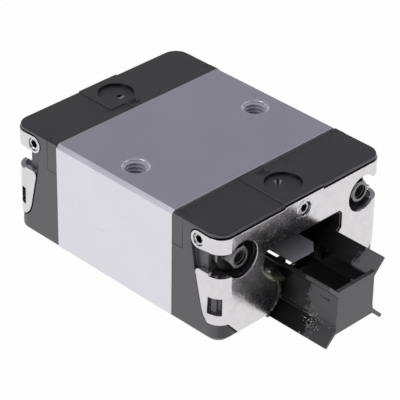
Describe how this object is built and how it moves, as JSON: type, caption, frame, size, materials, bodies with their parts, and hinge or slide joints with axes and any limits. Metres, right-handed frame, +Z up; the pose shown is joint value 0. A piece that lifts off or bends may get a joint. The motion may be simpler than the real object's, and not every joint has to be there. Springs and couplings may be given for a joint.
{
  "type": "linear guide carriage",
  "caption": "Slim linear guide carriage with recirculating balls, black end caps and bent steel cover plates, on its black transport arbor",
  "frame": {"origin": "centre of the top mounting face, midway between its two tapped holes", "axes": "+X along the rail towards the front end, where the transport arbor sticks out; +Y to the right side seen from the rear; +Z up out of the mounting face"},
  "size_m": [0.071, 0.044, 0.0254],
  "materials": {
    "ground_steel": "ground bearing steel, lightly oiled",
    "race_steel": "hardened and ground",
    "ball_steel": "polished bearing balls",
    "stainless_sheet": "bright rolled stainless sheet",
    "screw_steel": "turned, dark bright",
    "black_plastic": "satin moulded polyamide",
    "guide_plastic": "satin moulded",
    "seal_rubber": "moulded rubber, oily",
    "arbor_plastic": "satin moulded, oil film near the carriage"
  },
  "bodies": {
    "carriage": {"steel_body": "ground_steel", "left_race_insert": "race_steel", "right_race_insert": "race_steel", "left_upper_ball_guide": "guide_plastic", "left_lower_ball_guide": "guide_plastic", "right_upper_ball_guide": "guide_plastic", "right_lower_ball_guide": "guide_plastic", "left_upper_balls": "ball_steel", "left_lower_balls": "ball_steel", "right_upper_balls": "ball_steel", "right_lower_balls": "ball_steel", "front_return_frame": "black_plastic", "rear_return_frame": "black_plastic", "front_end_cap": "black_plastic", "rear_end_cap": "black_plastic", "front_end_seal": "seal_rubber", "rear_end_seal": "seal_rubber", "left_side_seal": "seal_rubber", "right_side_seal": "seal_rubber", "front_cover_plate": "stainless_sheet", "rear_cover_plate": "stainless_sheet", "front_left_end_screw": "screw_steel", "front_right_end_screw": "screw_steel", "rear_left_end_screw": "screw_steel", "rear_right_end_screw": "screw_steel", "front_left_port_screw": "screw_steel", "front_right_port_screw": "screw_steel", "front_centre_port_screw": "screw_steel", "rear_left_port_screw": "screw_steel", "rear_right_port_screw": "screw_steel", "rear_centre_port_screw": "screw_steel"},
    "transport_arbor": {"transport_arbor": "arbor_plastic"}
  },
  "joints": [
    {"name": "arbor_slide", "type": "slide", "parent": "carriage", "child": "transport_arbor", "axis": [1, 0, 0], "range_m": [-0.0135, 0.047]}
  ]
}
